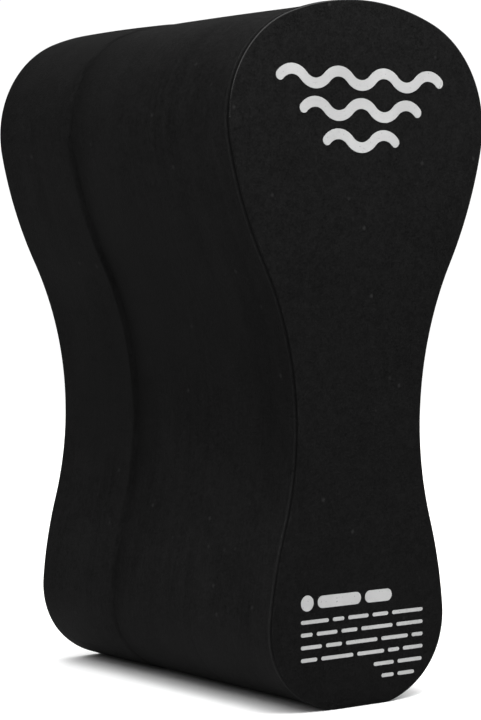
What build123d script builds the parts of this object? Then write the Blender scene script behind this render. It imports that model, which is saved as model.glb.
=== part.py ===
from build123d import *
import math
import os

# A pull buoy: a solid foam float that a swimmer grips between the thighs.
# It is a figure eight with a large upper lobe, a small lower lobe and a waist.
# Three equal slabs of foam are glued together to make up its depth.
# X is the width, Z is up, and the printed front face looks along -Y.
# The origin is under the middle of the float, on the surface it stands on.
# All sizes are in millimetres.

# Overall
HEIGHT = 240
LAYER_PITCH = 48  # one foam slab and its share of the glue
DEPTH = 3 * LAYER_PITCH
FRONT_Y = -DEPTH / 2
REAR_Y = DEPTH / 2

# Upper lobe. Angles are measured from straight up.
CROWN_RADIUS = 86
CROWN_ANGLE = 21.5
SHOULDER_RADIUS = 37.7
SHOULDER_ANGLE = 101
UPPER_FLANK_RADIUS = 147.5

# Waist, where the thighs grip
WAIST_RADIUS = 121

# Lower lobe. Angles are measured from straight down.
LOWER_FLANK_RADIUS = 155.5
HEEL_ANGLE = 94.5
HEEL_RADIUS = 28
BASE_ANGLE = 40.5
BASE_RADIUS = 33
FOOT_HALF_WIDTH = 6  # the narrow flat that the float stands on

# Foam slabs and the adhesive between them
GLUE_THICKNESS = 0.3
GLUE_INSET = 3  # the adhesive stops this far inside the cut outline
FACE_ROUND = 1.5  # rim of the two outer faces
SEAM_ROUND = 0.5  # rim of a slab where it meets its neighbour

# Printed marks on the front face: rows of waves above, a block of plain bars below
INK_THICKNESS = 0.1
HALF_WAVES = (7, 5, 3)  # half waves in each row, from the top down
HALF_WAVE_LENGTH = 10
WAVE_RISE = 2.2
WAVE_STROKE = 3.6
WAVE_TOP_Z = 214
WAVE_ROW_PITCH = 10.5
BAR_LEFT_X = -26
BAR_GAP = 1.8
HEADING_DISC = 5.4  # the heading is a disc and thick bars
HEADING_LENGTHS = (19, 12)
HEADING_HEIGHT = 4.2
HEADING_Z = 37.4
BAR_LENGTHS = (12, 5, 9, 7, 14)  # each row holds these, starting one further along
BAR_HEIGHT = 1.3
BAR_TOP_Z = 31
BAR_ROW_PITCH = 4.3
BAR_ROW_COUNT = 4
FOOTER_LEFT_X = 6  # two short rows at the lower right
FOOTER_LENGTHS = (9, 11)
FOOTER_INDENT = 3.5

os.makedirs("parts", exist_ok=True)


def step(angle, length):
    """A move of this length, at an angle in degrees from straight up towards +X."""
    return Vector(length * math.sin(math.radians(angle)), length * math.cos(math.radians(angle)))


def arc_between(centre, radius, first_angle, last_angle):
    """An arc about a centre, between two angles from straight up."""
    return CenterArc(centre, radius, 90 - first_angle, first_angle - last_angle)


# Centres of the seven arcs of the right half of the outline, each arc tangent to the next
crown = Vector(0, HEIGHT - CROWN_RADIUS)
shoulder = crown + step(CROWN_ANGLE, CROWN_RADIUS - SHOULDER_RADIUS)
upper_flank = shoulder + step(SHOULDER_ANGLE, SHOULDER_RADIUS - UPPER_FLANK_RADIUS)
base = Vector(FOOT_HALF_WIDTH, BASE_RADIUS)
heel = base + step(180 - BASE_ANGLE, BASE_RADIUS - HEEL_RADIUS)
lower_flank = heel + step(180 - HEEL_ANGLE, HEEL_RADIUS - LOWER_FLANK_RADIUS)

# The waist arc touches both flank arcs from outside, so the three centres make a triangle
flank_gap = lower_flank - upper_flank
reach_up = UPPER_FLANK_RADIUS + WAIST_RADIUS
reach_down = LOWER_FLANK_RADIUS + WAIST_RADIUS
gap_angle = math.degrees(math.atan2(flank_gap.X, flank_gap.Y)) % 360
corner_cosine = (reach_up**2 + flank_gap.length**2 - reach_down**2) / (2 * reach_up * flank_gap.length)
upper_tangent_angle = gap_angle - math.degrees(math.acos(corner_cosine))
waist = upper_flank + step(upper_tangent_angle, reach_up)
to_waist = waist - lower_flank
lower_tangent_angle = math.degrees(math.atan2(to_waist.X, to_waist.Y))


with BuildSketch() as outline:
    with BuildLine():
        arc_between(crown, CROWN_RADIUS, 0, CROWN_ANGLE)
        arc_between(shoulder, SHOULDER_RADIUS, CROWN_ANGLE, SHOULDER_ANGLE)
        arc_between(upper_flank, UPPER_FLANK_RADIUS, SHOULDER_ANGLE, upper_tangent_angle)
        arc_between(waist, WAIST_RADIUS, upper_tangent_angle + 180, lower_tangent_angle + 180)
        arc_between(lower_flank, LOWER_FLANK_RADIUS, lower_tangent_angle, 180 - HEEL_ANGLE)
        arc_between(heel, HEEL_RADIUS, 180 - HEEL_ANGLE, 180 - BASE_ANGLE)
        arc_between(base, BASE_RADIUS, 180 - BASE_ANGLE, 180)
        Line((FOOT_HALF_WIDTH, 0), (0, 0))
        mirror(about=Plane.YZ)
    make_face()


def build_layer(name, front_y, rear_y, front_round, rear_round):
    """One foam slab between two depths, its front and rear rims rounded."""
    with BuildPart() as layer:
        with BuildSketch(Plane.XZ.offset(-front_y)):
            add(outline.sketch)
        extrude(amount=front_y - rear_y)
        faces_by_depth = layer.faces().sort_by(Axis.Y)
        front_rim = faces_by_depth[0].edges()
        rear_rim = faces_by_depth[-1].edges()
        fillet(front_rim, front_round)
        fillet(rear_rim, rear_round)
    layer.part.label = name
    export_step(layer.part, f"parts/{name}.step")


def build_glue_film(name, middle_y):
    """The adhesive between two slabs, cut back from the outline all round."""
    with BuildPart() as film:
        with BuildSketch(Plane.XZ.offset(-middle_y)):
            add(outline.sketch)
            offset(amount=-GLUE_INSET, mode=Mode.REPLACE)
        extrude(amount=GLUE_THICKNESS / 2, both=True)
    film.part.label = name
    export_step(film.part, f"parts/{name}.step")


# The foam float
front_joint_y = FRONT_Y + LAYER_PITCH
rear_joint_y = REAR_Y - LAYER_PITCH
half_glue = GLUE_THICKNESS / 2
build_layer("front_layer", FRONT_Y, front_joint_y - half_glue, FACE_ROUND, SEAM_ROUND)
build_layer("middle_layer", front_joint_y + half_glue, rear_joint_y - half_glue, SEAM_ROUND, SEAM_ROUND)
build_layer("rear_layer", rear_joint_y + half_glue, REAR_Y, SEAM_ROUND, FACE_ROUND)
build_glue_film("front_glue_film", front_joint_y)
build_glue_film("rear_glue_film", rear_joint_y)

# Rows of waves near the top of the front face, each row shorter than the one above
with BuildPart() as wave_print:
    with BuildSketch(Plane.XZ.offset(-FRONT_Y)):
        for row, half_waves in enumerate(HALF_WAVES):
            wave_z = WAVE_TOP_Z - row * WAVE_ROW_PITCH
            left_x = -half_waves * HALF_WAVE_LENGTH / 2
            with BuildLine() as wave_line:
                for index in range(half_waves):
                    start_x = left_x + index * HALF_WAVE_LENGTH
                    end_x = start_x + HALF_WAVE_LENGTH
                    SagittaArc((start_x, wave_z), (end_x, wave_z), WAVE_RISE * (-1) ** index)
            trace(line_width=WAVE_STROKE)
            with Locations((left_x, wave_z), (-left_x, wave_z)):
                Circle(WAVE_STROKE / 2)
    extrude(amount=INK_THICKNESS)
wave_print.part.label = "wave_print"
export_step(wave_print.part, "parts/wave_print.step")



def draw_bars(left_x, middle_z, lengths, height):
    """A row of bars with round ends, drawn in the sketch that is open."""
    for length in lengths:
        with Locations((left_x + length / 2, middle_z)):
            SlotOverall(length, height)
        left_x += length + BAR_GAP


# A heading, rows of short bars and two shorter rows near the foot of the front face
with BuildPart() as bar_print:
    with BuildSketch(Plane.XZ.offset(-FRONT_Y)):
        with Locations((BAR_LEFT_X + HEADING_DISC / 2, HEADING_Z)):
            Circle(HEADING_DISC / 2)
        draw_bars(BAR_LEFT_X + HEADING_DISC + BAR_GAP, HEADING_Z, HEADING_LENGTHS, HEADING_HEIGHT)
        for row in range(BAR_ROW_COUNT):
            row_lengths = BAR_LENGTHS[row:] + BAR_LENGTHS[:row]
            draw_bars(BAR_LEFT_X, BAR_TOP_Z - row * BAR_ROW_PITCH, row_lengths, BAR_HEIGHT)
        footer_z = BAR_TOP_Z - BAR_ROW_COUNT * BAR_ROW_PITCH
        draw_bars(FOOTER_LEFT_X, footer_z, FOOTER_LENGTHS, BAR_HEIGHT)
        lower_lengths = [length - FOOTER_INDENT for length in FOOTER_LENGTHS]
        draw_bars(FOOTER_LEFT_X + FOOTER_INDENT, footer_z - BAR_ROW_PITCH, lower_lengths, BAR_HEIGHT)
    extrude(amount=INK_THICKNESS)
bar_print.part.label = "bar_print"
export_step(bar_print.part, "parts/bar_print.step")
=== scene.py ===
import math

import bmesh
import bpy
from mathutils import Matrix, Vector, noise
from mathutils.geometry import delaunay_2d_cdt
from mathutils.kdtree import KDTree


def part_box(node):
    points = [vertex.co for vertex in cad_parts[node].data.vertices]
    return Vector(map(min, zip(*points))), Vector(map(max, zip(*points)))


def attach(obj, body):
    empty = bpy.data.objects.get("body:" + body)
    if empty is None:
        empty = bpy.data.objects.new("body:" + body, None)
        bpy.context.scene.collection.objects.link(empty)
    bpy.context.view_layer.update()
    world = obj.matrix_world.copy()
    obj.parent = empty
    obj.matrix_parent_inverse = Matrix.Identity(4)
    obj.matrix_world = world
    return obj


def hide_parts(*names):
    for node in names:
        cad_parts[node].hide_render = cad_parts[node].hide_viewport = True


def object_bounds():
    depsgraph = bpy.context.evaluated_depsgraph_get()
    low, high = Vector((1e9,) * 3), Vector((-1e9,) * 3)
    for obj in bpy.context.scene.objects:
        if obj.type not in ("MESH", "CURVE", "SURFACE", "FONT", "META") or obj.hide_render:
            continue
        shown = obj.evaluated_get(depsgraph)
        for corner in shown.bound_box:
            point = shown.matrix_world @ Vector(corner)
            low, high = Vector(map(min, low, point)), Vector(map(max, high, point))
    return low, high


# A black foam pull buoy on a pale floor. Three glued slabs share one figure-eight outline.
# X is the width, Z is up, and the printed face looks along -Y. All lengths are in metres.

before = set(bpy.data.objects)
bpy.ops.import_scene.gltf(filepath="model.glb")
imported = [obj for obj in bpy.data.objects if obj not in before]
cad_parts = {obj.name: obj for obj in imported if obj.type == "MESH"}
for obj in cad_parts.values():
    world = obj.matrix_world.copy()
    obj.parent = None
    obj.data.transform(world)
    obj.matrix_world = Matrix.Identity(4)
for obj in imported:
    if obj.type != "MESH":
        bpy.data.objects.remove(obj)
cad_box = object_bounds()
front_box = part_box("front_layer")
rear_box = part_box("rear_layer")
film_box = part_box("front_glue_film")

MM = 0.001
HALF_FILM = (film_box[1].y - film_box[0].y) / 2
FILM_INSET = film_box[0].x - front_box[0].x  # the adhesive stops this far inside the outline
FRONT_FACE = front_box[0].y  # the printed face, the two glued joints and the rear face
FRONT_JOINT = front_box[1].y + HALF_FILM
REAR_JOINT = rear_box[0].y - HALF_FILM
REAR_FACE = rear_box[1].y

# ---------------------------------------------------------------- camera

CAMERA_AZIMUTH = math.radians(-37.01)
CAMERA_ELEVATION = math.radians(2.52)
CAMERA_DISTANCE = 0.8643
CAMERA_TARGET = Vector((0.0029, 0, 0.1161))
LENS = 118.2  # on a 36 mm sensor, along the picture's long side


def make_camera():
    data = bpy.data.cameras.new("camera")
    data.lens = LENS
    data.sensor_width = 36
    camera = bpy.data.objects.new("camera", data)
    bpy.context.scene.collection.objects.link(camera)
    level = math.cos(CAMERA_ELEVATION)
    back = Vector((
        math.sin(CAMERA_AZIMUTH) * level,
        -math.cos(CAMERA_AZIMUTH) * level,
        math.sin(CAMERA_ELEVATION),
    ))
    camera.location = CAMERA_TARGET + CAMERA_DISTANCE * back
    camera.rotation_euler = back.to_track_quat("Z", "Y").to_euler()
    bpy.context.scene.camera = camera


# ---------------------------------------------------------------- outline

HEIGHT = cad_box[1].z
CROWN_RADIUS = 86 * MM
CROWN_ANGLE = 21.5
SHOULDER_RADIUS = 37.7 * MM
SHOULDER_ANGLE = 101
UPPER_FLANK_RADIUS = 147.5 * MM
WAIST_RADIUS = 121 * MM
LOWER_FLANK_RADIUS = 155.5 * MM
HEEL_ANGLE = 94.5
HEEL_RADIUS = 28 * MM
BASE_ANGLE = 40.5
BASE_RADIUS = 33 * MM
FOOT_HALF_WIDTH = 6 * MM
OUTLINE_STEP = 1.5 * MM


def heading(angle, length):
    """A move of this length in the XZ plane, at an angle in degrees from straight up."""
    turn = math.radians(angle)
    return Vector((length * math.sin(turn), length * math.cos(turn)))


def angle_of(move):
    return math.degrees(math.atan2(move.x, move.y)) % 360


def outline_arcs():
    """(centre, radius, first angle, last angle, side) of the right half, from the crown down.
    side is 1 where the foam is inside the arc's circle and -1 round the waist."""
    crown = Vector((0, HEIGHT - CROWN_RADIUS))
    shoulder = crown + heading(CROWN_ANGLE, CROWN_RADIUS - SHOULDER_RADIUS)
    upper_flank = shoulder + heading(SHOULDER_ANGLE, SHOULDER_RADIUS - UPPER_FLANK_RADIUS)
    base = Vector((FOOT_HALF_WIDTH, BASE_RADIUS))
    heel = base + heading(180 - BASE_ANGLE, BASE_RADIUS - HEEL_RADIUS)
    lower_flank = heel + heading(180 - HEEL_ANGLE, HEEL_RADIUS - LOWER_FLANK_RADIUS)
    # The waist arc touches both flank arcs from outside: three centres make a triangle
    gap = lower_flank - upper_flank
    reach_up = UPPER_FLANK_RADIUS + WAIST_RADIUS
    reach_down = LOWER_FLANK_RADIUS + WAIST_RADIUS
    cosine = (reach_up**2 + gap.length_squared - reach_down**2) / (2 * reach_up * gap.length)
    leave = angle_of(gap) - math.degrees(math.acos(cosine))
    waist = upper_flank + heading(leave, reach_up)
    meet = angle_of(waist - lower_flank)
    return [
        (crown, CROWN_RADIUS, 0, CROWN_ANGLE, 1),
        (shoulder, SHOULDER_RADIUS, CROWN_ANGLE, SHOULDER_ANGLE, 1),
        (upper_flank, UPPER_FLANK_RADIUS, SHOULDER_ANGLE, leave, 1),
        (waist, WAIST_RADIUS, leave + 180, meet + 180, -1),
        (lower_flank, LOWER_FLANK_RADIUS, meet, 180 - HEEL_ANGLE, 1),
        (heel, HEEL_RADIUS, 180 - HEEL_ANGLE, 180 - BASE_ANGLE, 1),
        (base, BASE_RADIUS, 180 - BASE_ANGLE, 180, 1),
    ]


def outline_points():
    """(place, outward normal) pairs in the XZ plane, once round, clockwise from the crown."""
    half = []
    for centre, radius, first, last, side in outline_arcs():
        count = max(2, round(radius * math.radians(abs(last - first)) / OUTLINE_STEP))
        for index in range(count):
            outward = heading(first + (last - first) * index / count, 1)
            half.append((centre + outward * radius, outward * side))
    foot_count = round(FOOT_HALF_WIDTH / OUTLINE_STEP)
    for index in range(foot_count):
        across = FOOT_HALF_WIDTH * (1 - index / foot_count)
        half.append((Vector((across, 0)), Vector((0, -1))))
    low_point = (Vector((0, 0)), Vector((0, -1)))
    other_half = [
        (Vector((-place.x, place.y)), Vector((-normal.x, normal.y)))
        for place, normal in reversed(half[1:])
    ]
    return half + [low_point] + other_half


# ---------------------------------------------------------------- foam slabs

FACE_RIM = 0.45 * MM  # radius of the cut edge of an outer face
JOINT_RIM = 0.04 * MM  # radius of an edge that is pressed against its neighbour
RIM_STEPS = 5
SIDE_STEP = 2.0 * MM
FINE_STEP = 0.3 * MM  # behind the front edge and about the rear joint
CAP_INSET = 5.0 * MM
CAP_STEP = 4.5 * MM
CAP_CLEARANCE = 0.45 * CAP_STEP  # the cap's inner points stay this far from its ring
LAND_INSET = 0.9 * FILM_INSET  # a glued cap's recess starts here

LIP_GROOVE_AT = 1.15 * MM  # the cut edge of the front face has a fine groove behind it
LIP_GROOVE_WIDTH = 0.42 * MM
LIP_GROOVE_DEPTH = 0.28 * MM
LIP_BEAD_AT = 2.3 * MM  # and then a low rolled bead
LIP_BEAD_WIDTH = 0.7 * MM
LIP_BEAD_HEIGHT = 0.24 * MM
LIP_FLARE_HEIGHT = 1.3 * MM  # on a flare: the side behind it lies this much lower
LIP_FLARE_LENGTH = 8 * MM
LIP_PROUD = 0.9 * MM  # on the lobes the edge stands a little outside the cut outline

DIP_DEPTH = 0.35 * MM  # the middle slab curves in towards the rear slab
DIP_LENGTH = 15 * MM
RISE_LENGTH = 2.4 * MM  # and the rear slab rises again over a short rounded step
STEP_HEIGHT = LIP_FLARE_HEIGHT + DIP_DEPTH
WAIST_Z = 125 * MM  # the flare and the dip are deepest here
WAIST_REACH = 75 * MM
LOBE_RELIEF = 0.14  # and keep this much of their size on the lobes
SIDE_CROWN = 0.35 * MM
REAR_CROWN = 0.6  # the rear slab is crowned less, by this factor
WANDER = 0.14 * MM  # slow unevenness of the hand-finished sides
WANDER_LENGTH = 45 * MM

FINE_BANDS = (
    (FRONT_FACE, FRONT_FACE + 4 * MM),
    (REAR_JOINT - 2 * MM, REAR_JOINT + RISE_LENGTH + 0.5 * MM),
)


def bump_at(value, centre, width):
    """A smooth bump, 1 at the centre and almost gone two widths away."""
    return math.exp(-(((value - centre) / width) ** 2))


def front_lip(depth, hollow):
    """How far the side stands out at this depth behind the front face."""
    return (
        LIP_FLARE_HEIGHT * hollow * (math.exp(-depth / LIP_FLARE_LENGTH) - 1)
        + LIP_PROUD * (1 - hollow) * math.exp(-depth / LIP_FLARE_LENGTH)
        + LIP_BEAD_HEIGHT * bump_at(depth, LIP_BEAD_AT, LIP_BEAD_WIDTH)
        - LIP_GROOVE_DEPTH * bump_at(depth, LIP_GROOVE_AT, LIP_GROOVE_WIDTH)
    )


def crowned(fraction):
    """A low arch across a slab's thickness, highest half way."""
    return SIDE_CROWN * (1 - (2 * fraction - 1) ** 2)


def side_relief(y, z):
    """Outward offset of the side at a depth and a height."""
    hollow = LOBE_RELIEF + (1 - LOBE_RELIEF) * bump_at(z, WAIST_Z, WAIST_REACH)
    if y <= REAR_JOINT:
        fraction = (y - FRONT_FACE) / (REAR_JOINT - FRONT_FACE)
        dip = max(0.0, 1 - (REAR_JOINT - y) / DIP_LENGTH)
        return crowned(fraction) + front_lip(y - FRONT_FACE, hollow) - DIP_DEPTH * hollow * dip**2
    fraction = (y - REAR_JOINT) / (REAR_FACE - REAR_JOINT)
    step = max(0.0, 1 - (y - REAR_JOINT) / RISE_LENGTH)
    eased = step**2 * (3 - 2 * step)
    return crowned(fraction) * REAR_CROWN - STEP_HEIGHT * hollow * eased


def rim(radius, y_face, inward):
    """(offset, y) from the face round to the side. inward is the y direction into the slab."""
    points = []
    for index in range(RIM_STEPS + 1):
        turn = math.pi / 2 * index / RIM_STEPS
        offset = -radius * (1 - math.sin(turn))
        points.append((offset, y_face + inward * radius * (1 - math.cos(turn))))
    return points


def slab_section(y_front, y_rear, front_radius, rear_radius, front_recess, rear_recess):
    """(offset, y) round a slab's section, from the middle of its front cap to that of its rear
    cap. A cap that is glued is recessed for the film, inside a narrow land at the edge."""
    points = [(-CAP_INSET, y_front + front_recess), (-FILM_INSET, y_front + front_recess)]
    points.append((-LAND_INSET, y_front))
    points += rim(front_radius, y_front, 1)
    first = y_front + front_radius
    last = y_rear - rear_radius
    y = first
    while y < last - SIDE_STEP * 0.4:
        if y > first:
            points.append((0, y))
        fine = any(low < y < high for low, high in FINE_BANDS)
        y += FINE_STEP if fine else SIDE_STEP
    points += reversed(rim(rear_radius, y_rear, -1))
    points.append((-LAND_INSET, y_rear))
    points += [(-FILM_INSET, y_rear - rear_recess), (-CAP_INSET, y_rear - rear_recess)]
    return points


def fill_cap(mesh, ring, normals, y):
    """Closes a ring of vertices with an even net of triangles."""
    edge = [Vector((v.co.x, v.co.z)) for v in ring]
    tree = KDTree(len(edge))
    for index, place in enumerate(edge):
        tree.insert(place.to_3d(), index)
    tree.balance()
    across = math.ceil(max(p.x for p in edge) / CAP_STEP)
    row_height = CAP_STEP * math.sqrt(3) / 2
    inner = []
    for row in range(math.ceil(HEIGHT / row_height)):
        for column in range(-across, across + 1):
            place = Vector(((column + row % 2 / 2) * CAP_STEP, row * row_height))
            near, index, distance = tree.find(place.to_3d())
            if distance > CAP_CLEARANCE and (place - near.to_2d()).dot(normals[index]) < 0:
                inner.append(place)
    net = delaunay_2d_cdt(edge + inner, [], [list(range(len(edge)))], 1, 1e-7)
    places, faces, sources = net[0], net[2], net[3]
    verts = []
    for place, source in zip(places, sources):
        known = [s for s in source if s < len(edge)]
        verts.append(ring[known[0]] if known else mesh.verts.new((place.x, y, place.y)))
    for face in faces:
        mesh.faces.new([verts[i] for i in face])


SIDE_SLOT, FACE_SLOT, EDGE_SLOT, GLOSSY_EDGE_SLOT = range(4)
GLOSSY_EDGE_Z = 199.5 * MM  # above this the cut edge is smooth enough to shine
EDGE_TURN = 0.12  # a polygon turned this far towards the front or rear starts the cut edge
FACE_TURN = 0.998  # and this far ends it
CAP_TURN = 0.7  # the rest of what is turned this far is a flat face


def on_rim(face):
    """Whether a polygon belongs to the rounded edge of the float's front or rear face."""
    return any(abs(v.co.y - y) < FACE_RIM for v in face.verts for y in (FRONT_FACE, REAR_FACE))


def make_slab(name, node, section, materials):
    """One foam slab: its section swept round the outline, with a cap at each end."""
    outline = outline_points()
    mesh = bmesh.new()
    rings = []
    for offset, y in section:
        ring = []
        for place, normal in outline:
            spot = Vector((place.x, y, place.y)) / WANDER_LENGTH
            relief = side_relief(y, place.y) + WANDER * noise.noise(spot)
            at = place + normal * (offset + relief)
            ring.append(mesh.verts.new((at.x, y, max(at.y, 0.0))))
        rings.append(ring)
    for ring, following in zip(rings, rings[1:]):
        for index in range(len(outline)):
            after = (index + 1) % len(outline)
            mesh.faces.new((ring[index], ring[after], following[after], following[index]))
    normals = [normal for place, normal in outline]
    fill_cap(mesh, rings[0], normals, section[0][1])
    fill_cap(mesh, rings[-1], normals, section[-1][1])
    bmesh.ops.recalc_face_normals(mesh, faces=mesh.faces)
    for face in mesh.faces:
        face.smooth = True
        facing = abs(face.normal.y)
        if EDGE_TURN < facing < FACE_TURN and on_rim(face):
            glossy = face.calc_center_median().z > GLOSSY_EDGE_Z
            face.material_index = GLOSSY_EDGE_SLOT if glossy else EDGE_SLOT
        elif facing > CAP_TURN:
            face.material_index = FACE_SLOT
    data = bpy.data.meshes.new(name)
    mesh.to_mesh(data)
    mesh.free()
    piece = bpy.data.objects.new(name, data)
    bpy.context.scene.collection.objects.link(piece)
    for material in materials:
        data.materials.append(material)
    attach(piece, "root")
    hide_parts(node)
    return piece


# ---------------------------------------------------------------- materials

def new_material(name):
    """A material and its shader."""
    material = bpy.data.materials.new(name)
    material.use_nodes = True
    return material, material.node_tree.nodes["Principled BSDF"]


class Nodes:
    """Short names for building a node tree."""

    def __init__(self, material):
        self.tree = material.node_tree
        self.place = self.tree.nodes.new("ShaderNodeTexCoord").outputs["Object"]

    def add(self, kind, **inputs):
        node = self.tree.nodes.new(kind)
        for key, value in inputs.items():
            self.put(value, node.inputs[key.replace("_", " ")])
        return node

    def put(self, value, socket):
        if isinstance(value, bpy.types.NodeSocket):
            self.tree.links.new(value, socket)
        else:
            socket.default_value = value

    def scaled(self, x, y, z):
        node = self.tree.nodes.new("ShaderNodeMapping")
        self.put(self.place, node.inputs["Vector"])
        node.inputs["Scale"].default_value = (x, y, z)
        return node.outputs["Vector"]

    def noise(self, scale, detail=3.0, roughness=0.55, vector=None):
        node = self.add("ShaderNodeTexNoise", Scale=scale, Detail=detail, Roughness=roughness)
        self.put(vector or self.place, node.inputs["Vector"])
        return node.outputs["Fac"]

    def cells(self, scale, randomness=1.0):
        node = self.add("ShaderNodeTexVoronoi", Scale=scale, Randomness=randomness)
        self.put(self.place, node.inputs["Vector"])
        return node.outputs["Distance"]

    def range(self, value, low, high, to_low=0.0, to_high=1.0):
        node = self.tree.nodes.new("ShaderNodeMapRange")
        for socket, number in zip(node.inputs, (value, low, high, to_low, to_high)):
            self.put(number, socket)
        return node.outputs["Result"]

    def maths(self, operation, a, b=0.0):
        node = self.tree.nodes.new("ShaderNodeMath")
        node.operation = operation
        self.put(a, node.inputs[0])
        self.put(b, node.inputs[1])
        return node.outputs["Value"]

    def blend(self, factor, first, second):
        node = self.tree.nodes.new("ShaderNodeMix")
        node.data_type = "RGBA"
        self.put(factor, node.inputs["Factor"])
        colours = [socket for socket in node.inputs if socket.type == "RGBA"]
        self.put(first, colours[0])
        self.put(second, colours[1])
        return [socket for socket in node.outputs if socket.type == "RGBA"][0]

    def along(self, axis):
        node = self.add("ShaderNodeSeparateXYZ", Vector=self.place)
        return node.outputs[axis]

    def away(self, axis, centre):
        """How far a point is along an axis from a centre, either way."""
        return self.maths("ABSOLUTE", self.maths("SUBTRACT", self.along(axis), centre))

    def bump(self, height, strength, distance):
        node = self.add("ShaderNodeBump", Strength=strength, Distance=distance, Height=height)
        return node.outputs["Normal"]


FOAM_DARK = (0.001, 0.001, 0.001, 1)
FOAM_LIGHT = (0.0132, 0.0132, 0.0132, 1)
FOAM_SPECK = (0.027, 0.027, 0.027, 1)

# Noise scales, in features per metre
GRAIN_SCALE = 1500
PORE_SCALE = 1150
MOTTLE_SCALE = 620
PATCH_SCALE = 260
SPECK_SCALE = 90
CLOUD_SCALE = 50
FINE_MARK_SCALE = (9, 620, 9)  # marks run along the cut and are narrow across it
BROAD_MARK_SCALE = (4, 110, 4)
MARK_SHARE = 0.22  # of a cut side's tone

# Painted light: the face is painted lighter towards the crown, as light from above would make it.
FACE_PAINTED_LIGHT = 0.38  # the face is this much lighter at the crown
FACE_PAINTED_LIGHT_Z = 140 * MM  # than below this height


def painted_crown_light(n):
    """1 over the lower face, rising towards the crown: painted light, as if lit from above."""
    return n.range(n.along("Z"), FACE_PAINTED_LIGHT_Z, HEIGHT, 1, 1 + FACE_PAINTED_LIGHT)


JOINT_SHADE = 0.24  # painted shade: how much darker the foam is painted in the crease in front of the rear joint
JOINT_SHADE_LENGTH = 18 * MM
JOINT_SHADE_END = 2 * MM  # behind the joint the shade ends within this length

WAIST_PAINTED_SHADE = 0.28  # painted shade: the waist is painted darker, most of all behind the front edge
WAIST_PAINTED_SHADE_Z = 130 * MM
WAIST_PAINTED_SHADE_REACH = 75 * MM
WAIST_PAINTED_SHADE_CORE = 0.3  # the shade is full within this share of its reach
FRONT_EDGE_PAINTED_SHADE = 0.16
FRONT_EDGE_PAINTED_SHADE_LENGTH = 28 * MM
BEAD_PAINTED_HIGHLIGHT = 0.75  # painted highlight: the rolled bead behind the front edge is painted lighter
GROOVE_SHADE = 0.6  # and painted shade makes the groove beside it darker


def joint_shade(n):
    """1 over most of a side, falling gently in front of the rear joint and rising behind it:
    painted shade in the crease between the slabs.
    """
    y = n.along("Y")
    ahead = n.range(y, REAR_JOINT - JOINT_SHADE_LENGTH, REAR_JOINT)
    behind = n.range(y, REAR_JOINT + JOINT_SHADE_END, REAR_JOINT)
    near = n.maths("MULTIPLY", ahead, behind)
    return n.maths("SUBTRACT", 1.0, n.maths("MULTIPLY", near, JOINT_SHADE))


def painted_waist_shade(n):
    """1 on the lobes, lower round the waist and lowest near the front edge: painted shade."""
    waist = n.range(n.away("Z", WAIST_PAINTED_SHADE_Z), WAIST_PAINTED_SHADE_REACH, WAIST_PAINTED_SHADE_REACH * WAIST_PAINTED_SHADE_CORE)
    edge = n.range(n.along("Y"), FRONT_FACE + FRONT_EDGE_PAINTED_SHADE_LENGTH, FRONT_FACE + FRONT_EDGE_PAINTED_SHADE_LENGTH / 2)
    depth = n.maths("ADD", WAIST_PAINTED_SHADE, n.maths("MULTIPLY", edge, FRONT_EDGE_PAINTED_SHADE))
    return n.maths("SUBTRACT", 1.0, n.maths("MULTIPLY", waist, depth))


def painted_bead_highlight(n):
    """1 everywhere except on the bead, where a painted highlight makes the foam lighter."""
    return n.range(n.away("Y", FRONT_FACE + LIP_BEAD_AT), 0, LIP_BEAD_WIDTH, 1 + BEAD_PAINTED_HIGHLIGHT, 1)


def groove_shade(n):
    """1 everywhere except in the groove, where painted shade makes the foam darker."""
    away = n.away("Y", FRONT_FACE + LIP_GROOVE_AT)
    return n.range(away, LIP_GROOVE_WIDTH / 2, LIP_GROOVE_WIDTH * 1.5, 1 - GROOVE_SHADE, 1)


# Specular level, lowest roughness, spread of roughness and bump strength
MATT_FINISH = (0.025, 0.75, 0.15, 0.4)
GLOSSY_FINISH = (0.85, 0.22, 0.03, 0.12)
BUMP_DISTANCE = 0.3 * MM


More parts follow.
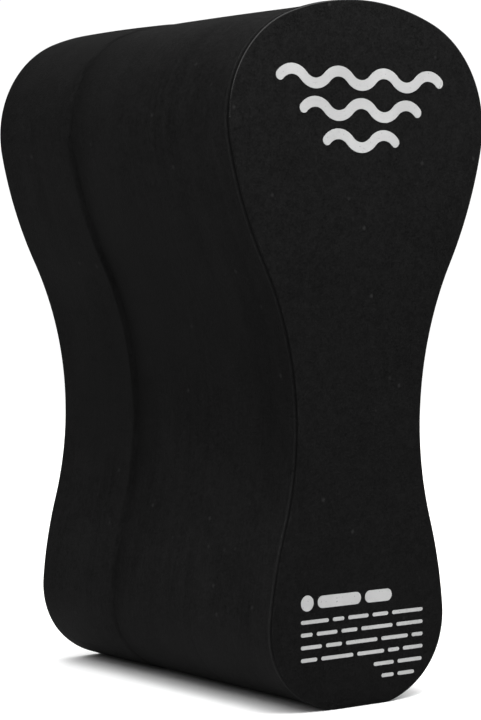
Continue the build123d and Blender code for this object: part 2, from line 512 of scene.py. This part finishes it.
def foam_material(name, lightness, streaked=False, crown_lit=False, finish=MATT_FINISH):
    """Closed-cell foam. A cut side is streaked: it also has fine marks that follow the cut round
    the outline, painted shade at the rear joint, the waist and the groove, and a painted
    highlight on the bead. A crown_lit face has painted light towards the crown."""
    material, shader = new_material(name)
    n = Nodes(material)
    grain = n.noise(GRAIN_SCALE, detail=4, roughness=0.7)
    mottle = n.noise(MOTTLE_SCALE, detail=4, roughness=0.75)
    pores = n.cells(PORE_SCALE)
    patches = n.noise(PATCH_SCALE, detail=4, roughness=0.65)
    clouds = n.noise(CLOUD_SCALE, detail=3)
    tone = 0.5
    for value, share in (
        (grain, 0.45),
        (mottle, 0.28),
        (patches, 0.22 if streaked else 0.12),
        (clouds, 0.14 if streaked else 0.05),
    ):
        tone = n.maths("ADD", tone, n.range(value, 0.36, 0.64, -share / 2, share / 2))
    height = n.maths("ADD", n.range(pores, 0.0, 0.7, 0, 0.6), n.range(grain, 0.2, 0.8, 0, 0.6))
    height = n.maths("ADD", height, n.range(mottle, 0.2, 0.8, 0, 0.5))
    if streaked:
        fine_marks = n.noise(1, detail=4, vector=n.scaled(*FINE_MARK_SCALE))
        broad_marks = n.noise(1, detail=2, vector=n.scaled(*BROAD_MARK_SCALE))
        fine_marks = n.range(fine_marks, 0.3, 0.7, 0, 0.6)
        broad_marks = n.range(broad_marks, 0.3, 0.7, 0, 0.4)
        marks = n.maths("ADD", fine_marks, broad_marks)
        tone = n.maths("MULTIPLY", tone, 1 - MARK_SHARE)
        tone = n.maths("ADD", tone, n.maths("MULTIPLY", marks, MARK_SHARE))
        height = n.maths("ADD", height, n.maths("MULTIPLY", marks, 0.5))
        for shade in (joint_shade(n), painted_waist_shade(n), painted_bead_highlight(n), groove_shade(n)):
            tone = n.maths("MULTIPLY", tone, shade)
    # painted light towards the crown of the face
    if crown_lit:
        tone = n.maths("MULTIPLY", tone, painted_crown_light(n))
    tone = n.maths("MULTIPLY", tone, lightness)
    colour = n.blend(tone, FOAM_DARK, FOAM_LIGHT)
    speck = n.range(n.cells(SPECK_SCALE), 0.03, 0.09, 0.35, 0)
    colour = n.blend(speck, colour, FOAM_SPECK)
    n.put(colour, shader.inputs["Base Color"])
    shine, smoothest, spread, bump = finish
    roughness = n.range(patches, 0.25, 0.75, smoothest, smoothest + spread)
    n.put(roughness, shader.inputs["Roughness"])
    shader.inputs["Specular IOR Level"].default_value = shine
    n.put(n.bump(height, bump, BUMP_DISTANCE), shader.inputs["Normal"])
    return material


INK_DARK = (0.28, 0.28, 0.28, 1)
INK_LIGHT = (0.34, 0.34, 0.34, 1)
INK_PINHOLE = (0.1, 0.1, 0.1, 1)
ADHESIVE_DARK = (0.012, 0.011, 0.01, 1)
ADHESIVE_LIGHT = (0.03, 0.027, 0.022, 1)


def ink_material():
    """Screen-printed ink, a little uneven where the foam's cells show through."""
    material, shader = new_material("ink")
    n = Nodes(material)
    grain = n.noise(1300, detail=3, roughness=0.65)
    clouds = n.noise(45, detail=3)
    colour = n.blend(n.range(clouds, 0.3, 0.7), INK_DARK, INK_LIGHT)
    pinholes = n.range(grain, 0.29, 0.34, 1, 0)
    colour = n.blend(pinholes, colour, INK_PINHOLE)
    n.put(colour, shader.inputs["Base Color"])
    n.put(n.range(clouds, 0.3, 0.7, 0.5, 0.65), shader.inputs["Roughness"])
    shader.inputs["Specular IOR Level"].default_value = 0.3
    n.put(n.bump(grain, 0.2, 0.1 * MM), shader.inputs["Normal"])
    return material


def adhesive_material():
    """Dried contact adhesive, dark and slightly rippled."""
    material, shader = new_material("adhesive")
    n = Nodes(material)
    ripples = n.noise(400, detail=3)
    colour = n.blend(n.range(ripples, 0.3, 0.7), ADHESIVE_DARK, ADHESIVE_LIGHT)
    n.put(colour, shader.inputs["Base Color"])
    n.put(n.range(ripples, 0.3, 0.7, 0.35, 0.55), shader.inputs["Roughness"])
    n.put(n.bump(ripples, 0.3, 0.2 * MM), shader.inputs["Normal"])
    return material


# ---------------------------------------------------------------- the object

def make_float():
    foam = [
        # The four foam copies differ in lightness: the cut edge is painted darker as painted
        # shade of its rounding, and the face and side are set apart to stand in for how light
        # falls on each.
        foam_material("foam_side", lightness=0.79, streaked=True),
        foam_material("foam_face", lightness=0.58, crown_lit=True),
        foam_material("foam_edge", lightness=0.7),
        foam_material("foam_glossy_edge", lightness=0.3, finish=GLOSSY_FINISH),
    ]
    make_slab("front_slab", "front_layer", slab_section(
        FRONT_FACE, FRONT_JOINT, FACE_RIM, JOINT_RIM, 0, HALF_FILM), foam)
    make_slab("middle_slab", "middle_layer", slab_section(
        FRONT_JOINT, REAR_JOINT, JOINT_RIM, JOINT_RIM, HALF_FILM, HALF_FILM), foam)
    make_slab("rear_slab", "rear_layer", slab_section(
        REAR_JOINT, REAR_FACE, JOINT_RIM, FACE_RIM, HALF_FILM, 0), foam)


def dress_cad_nodes():
    """The printed marks and the adhesive keep their CAD shapes and get detailed materials."""
    ink, adhesive = ink_material(), adhesive_material()
    for name, material in (
        ("wave_print", ink),
        ("bar_print", ink),
        ("front_glue_film", adhesive),
        ("rear_glue_film", adhesive),
    ):
        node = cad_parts[name]
        node.data.materials.clear()
        node.data.materials.append(material)


# ---------------------------------------------------------------- floor and light

FLOOR_GLOW = 0.42  # painted light: the floor glows this much, and a painted shadow dims it close to the float
FLOOR_GLOW_REACH = 18 * MM
FLOOR_GLOW_FALLOFF = 1.5
FLOOR_RADIUS = 6
DOME_ENERGY = 2.2  # a very wide sun, like an overcast sky
DOME_ANGLE = 138
DOME_TILT = (math.radians(-6), math.radians(2), 0)
SOFTBOXES = (  # name, place, size, power
    ("right", (0.9, 0.2, 0.55), (0.4, 0.4), 4.5),
    ("left", (-0.6, 0.1, 0.85), (0.5, 0.5), 2.9),
    ("top", (-0.06, -0.32, 0.56), (0.35, 0.25), 3.9),
    ("back", (0.75, 1.0, 0.7), (0.5, 0.9), 5.0),
)
BACKDROP = 1.05  # the white that the camera sees
AMBIENT = 0.06  # the faint light that comes from all round


def make_floor():
    """A pale table with painted light: it glows a little, and less where the float stands over
    it, a painted shadow.
    """
    data = bpy.data.meshes.new("floor")
    mesh = bmesh.new()
    bmesh.ops.create_circle(mesh, cap_ends=True, radius=FLOOR_RADIUS, segments=96)
    mesh.to_mesh(data)
    mesh.free()
    floor = bpy.data.objects.new("floor", data)
    bpy.context.scene.collection.objects.link(floor)
    material, shader = new_material("floor")
    shader.inputs["Base Color"].default_value = (0.8, 0.8, 0.8, 1)
    shader.inputs["Emission Color"].default_value = (1, 1, 1, 1)
    n = Nodes(material)
    # painted shadow: ambient occlusion dims the floor's glow under and beside the float
    open_sky = n.add("ShaderNodeAmbientOcclusion", Distance=FLOOR_GLOW_REACH)
    open_sky.samples = 8
    openness = n.maths("POWER", open_sky.outputs["AO"], FLOOR_GLOW_FALLOFF)
    n.put(n.maths("MULTIPLY", openness, FLOOR_GLOW), shader.inputs["Emission Strength"])
    shader.inputs["Roughness"].default_value = 0.9
    shader.inputs["Specular IOR Level"].default_value = 0.1
    data.materials.append(material)


def softbox(name, place, size, power):
    """A soft light aimed at the middle of the float. It adds no highlight of its own."""
    data = bpy.data.lights.new(name, "AREA")
    data.shape = "RECTANGLE"
    data.size, data.size_y = size
    data.energy = power
    light = bpy.data.objects.new(name, data)
    bpy.context.scene.collection.objects.link(light)
    light.visible_camera = False
    light.visible_glossy = False
    light.location = place
    aim = Vector(place) - Vector((0, 0, HEIGHT / 2))
    light.rotation_euler = aim.to_track_quat("Z", "Y").to_euler()


def make_lights():
    data = bpy.data.lights.new("dome", "SUN")
    data.energy = DOME_ENERGY
    data.angle = math.radians(DOME_ANGLE)
    dome = bpy.data.objects.new("dome", data)
    bpy.context.scene.collection.objects.link(dome)
    dome.rotation_euler = DOME_TILT
    for name, place, size, power in SOFTBOXES:
        softbox(name, place, size, power)


def make_world():
    world = bpy.data.worlds.new("world")
    bpy.context.scene.world = world
    world.use_nodes = True
    tree = world.node_tree
    tree.nodes.clear()
    seen = tree.nodes.new("ShaderNodeBackground")
    seen.inputs["Color"].default_value = (1, 1, 1, 1)
    seen.inputs["Strength"].default_value = BACKDROP
    lit = tree.nodes.new("ShaderNodeBackground")
    lit.inputs["Color"].default_value = (1, 1, 1, 1)
    lit.inputs["Strength"].default_value = AMBIENT
    path = tree.nodes.new("ShaderNodeLightPath")
    mix = tree.nodes.new("ShaderNodeMixShader")
    output = tree.nodes.new("ShaderNodeOutputWorld")
    tree.links.new(path.outputs["Is Camera Ray"], mix.inputs["Fac"])
    tree.links.new(lit.outputs[0], mix.inputs[1])
    tree.links.new(seen.outputs[0], mix.inputs[2])
    tree.links.new(mix.outputs[0], output.inputs["Surface"])


make_camera()
make_float()
dress_cad_nodes()
make_floor()
make_lights()
make_world()
bpy.context.scene.view_settings.view_transform = "Standard"
